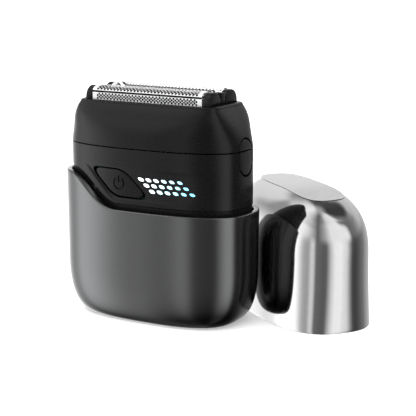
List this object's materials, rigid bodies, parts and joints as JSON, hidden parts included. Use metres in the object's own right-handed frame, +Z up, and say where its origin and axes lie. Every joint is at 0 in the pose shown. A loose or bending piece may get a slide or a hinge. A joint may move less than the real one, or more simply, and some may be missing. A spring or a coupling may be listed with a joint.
{
  "type": "electric shaver",
  "caption": "Palm-size foil shaver with metal lower shell, black body with power button and status lights, sprung foil head and a separate chrome travel cap.",
  "frame": {"origin": "middle of the body's flat base, on the surface it stands on", "axes": "+Z up through the head, +X to the right seen from the front, -Y towards the front face with the power button"},
  "size_m": [0.0931, 0.0685, 0.0713],
  "materials": {
    "shell": "satin gunmetal lacquer",
    "body_black": "matte black moulded plastic",
    "gloss_black": "gloss black moulded plastic",
    "chrome": "mirror chrome",
    "steel": "plain steel",
    "foil": "thin bright perforated steel foil",
    "light": "clear light guide, lit white to cyan",
    "grey_plastic": "grey moulded plastic",
    "white_plastic": "natural acetal",
    "rubber": "soft black rubber",
    "board": "green solder mask",
    "cell": "blue sleeve",
    "nickel": "nickel strip"
  },
  "bodies": {
    "shaver_body": {"outer_shell": "shell", "inner_body": "body_black", "rim_seal": "rubber", "led_light_guide": "light", "battery_cell": "cell", "battery_tab_left": "nickel", "battery_tab_right": "nickel", "battery_cradle": "body_black", "usb_c_socket": "steel", "port_board": "board", "circuit_board": "board", "power_switch": "steel", "motor_can": "steel", "drive_chassis": "grey_plastic", "drive_deck": "body_black", "shaft_seal": "rubber", "deck_screw_1": "steel", "deck_screw_2": "steel", "deck_screw_3": "steel", "deck_screw_4": "steel", "bridge_flexure_left": "white_plastic", "bridge_flexure_right": "white_plastic", "release_spring_left": "steel", "release_spring_right": "steel"},
    "motor_rotor": {"motor_shaft": "steel", "eccentric_cam": "white_plastic"},
    "oscillator": {"drive_bridge": "white_plastic", "blade_spring_front": "steel", "blade_spring_rear": "steel"},
    "blade_front": {"blade_holder_front": "white_plastic", "inner_cutter_front": "steel"},
    "blade_rear": {"blade_holder_rear": "white_plastic", "inner_cutter_rear": "steel"},
    "head": {"head_frame": "body_black", "head_tab_left": "body_black", "head_tab_right": "body_black"},
    "foil_unit_front": {"foil_front": "foil", "foil_carrier_front": "gloss_black"},
    "foil_unit_rear": {"foil_rear": "foil", "foil_carrier_rear": "gloss_black"},
    "power_button": {"power_button": "gloss_black"},
    "release_left": {"release_button_left": "body_black"},
    "release_right": {"release_button_right": "body_black"},
    "cap": {"cap_shell": "chrome", "cap_liner": "body_black"}
  },
  "joints": [
    {"name": "head_lift", "type": "slide", "parent": "shaver_body", "child": "head", "axis": [0, 0, 1], "range_m": [0, 0.03]},
    {"name": "foil_front_float", "type": "slide", "parent": "head", "child": "foil_unit_front", "axis": [0, 0, -1], "range_m": [0, 0.0012], "stiffness_N_per_m": 400, "springref_m": -0.001},
    {"name": "foil_rear_float", "type": "slide", "parent": "head", "child": "foil_unit_rear", "axis": [0, 0, -1], "range_m": [0, 0.0012], "stiffness_N_per_m": 400, "springref_m": -0.001},
    {"name": "motor_spin", "type": "hinge", "parent": "shaver_body", "child": "motor_rotor", "pos_m": [0, 0, 0.05], "axis": [0, 0, 1], "continuous": true},
    {"name": "bridge_oscillate", "type": "slide", "parent": "shaver_body", "child": "oscillator", "axis": [1, 0, 0], "range_m": [-0.001, 0.001], "stiffness_N_per_m": 400},
    {"name": "blade_front_float", "type": "slide", "parent": "oscillator", "child": "blade_front", "axis": [0, 0, -1], "range_m": [0, 0.0012], "deforming": ["blade_spring_front"]},
    {"name": "blade_rear_float", "type": "slide", "parent": "oscillator", "child": "blade_rear", "axis": [0, 0, -1], "range_m": [0, 0.0012], "deforming": ["blade_spring_rear"]},
    {"name": "power_button_press", "type": "slide", "parent": "shaver_body", "child": "power_button", "axis": [0, 1, 0], "range_m": [0, 0.0005], "stiffness_N_per_m": 600, "springref_m": -0.0008},
    {"name": "release_left_press", "type": "slide", "parent": "shaver_body", "child": "release_left", "axis": [1, 0, 0], "range_m": [0, 0.0015], "stiffness_N_per_m": 500, "springref_m": -0.001},
    {"name": "release_right_press", "type": "slide", "parent": "shaver_body", "child": "release_right", "axis": [-1, 0, 0], "range_m": [0, 0.0015], "stiffness_N_per_m": 500, "springref_m": -0.001},
    {"name": "cap_lift", "type": "slide", "parent": "shaver_body", "child": "cap", "axis": [0, 0, 1], "range_m": [0, 0.09]}
  ],
  "couplings": [
    {"joint": "blade_front_float", "follows": "foil_front_float", "ratio": 1},
    {"joint": "blade_rear_float", "follows": "foil_rear_float", "ratio": 1}
  ]
}
